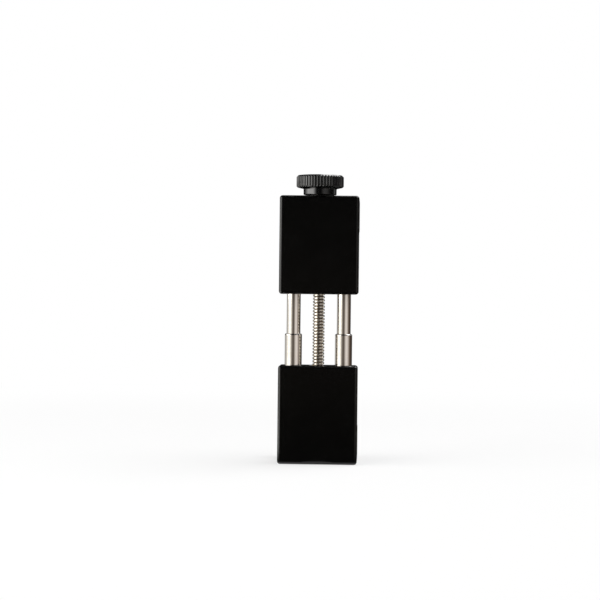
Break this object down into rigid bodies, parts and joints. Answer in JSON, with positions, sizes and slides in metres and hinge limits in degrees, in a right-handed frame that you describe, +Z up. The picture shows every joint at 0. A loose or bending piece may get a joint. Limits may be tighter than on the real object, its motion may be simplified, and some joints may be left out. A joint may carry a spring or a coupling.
{
  "type": "tripod phone mount adapter",
  "caption": "Clamp for a phone on a tripod: two black channel jaws on telescoping steel guides, drawn together by a lead screw with a knurled knob, with a camera shoe slot on top.",
  "frame": {"origin": "axis of the tripod bushing at the plane of the base, which is the middle of the bottom of the box round the object", "axes": "+Z up along the lead screw, +Y towards the side that holds the phone, -Y towards the plain back, +X to the right seen from the back"},
  "size_m": [0.0268, 0.034, 0.0974],
  "materials": {
    "black_aluminium": "black anodised, satin",
    "gloss_black_aluminium": "black anodised, gloss",
    "polished_steel": "polished nickel plate",
    "bushing_steel": "turned",
    "screw_steel": "rolled thread",
    "brass": "turned",
    "rubber": "matt moulded",
    "dark_steel": "black oxide",
    "nylon": "matt"
  },
  "bodies": {
    "lower_jaw": {"lower_jaw_body": "black_aluminium", "lower_channel_liner": "rubber", "lower_back_pad": "rubber", "left_guide_tube": "polished_steel", "right_guide_tube": "polished_steel", "left_tube_set_screw": "dark_steel", "right_tube_set_screw": "dark_steel", "lead_nut": "brass", "tripod_bushing": "bushing_steel"},
    "upper_jaw": {"upper_jaw_body": "black_aluminium", "upper_channel_liner": "rubber", "upper_back_pad": "rubber", "left_guide_rod": "polished_steel", "right_guide_rod": "polished_steel", "left_rod_set_screw": "dark_steel", "right_rod_set_screw": "dark_steel", "thrust_washer": "nylon"},
    "knob_and_screw": {"knob": "gloss_black_aluminium", "lead_screw": "screw_steel", "retaining_collar": "dark_steel", "knob_set_screw": "dark_steel"}
  },
  "joints": [
    {"name": "jaw_slide", "type": "slide", "parent": "lower_jaw", "child": "upper_jaw", "axis": [0, 0, 1], "range_m": [-0.0237, 0.003]},
    {"name": "knob_spin", "type": "hinge", "parent": "upper_jaw", "child": "knob_and_screw", "pos_m": [0, -0.009, 0.0904], "axis": [0, 0, 1], "range_deg": [-8052, 1022]}
  ],
  "couplings": [
    {"joint": "knob_spin", "follows": "jaw_slide", "rad_per_m": 5927.5}
  ]
}
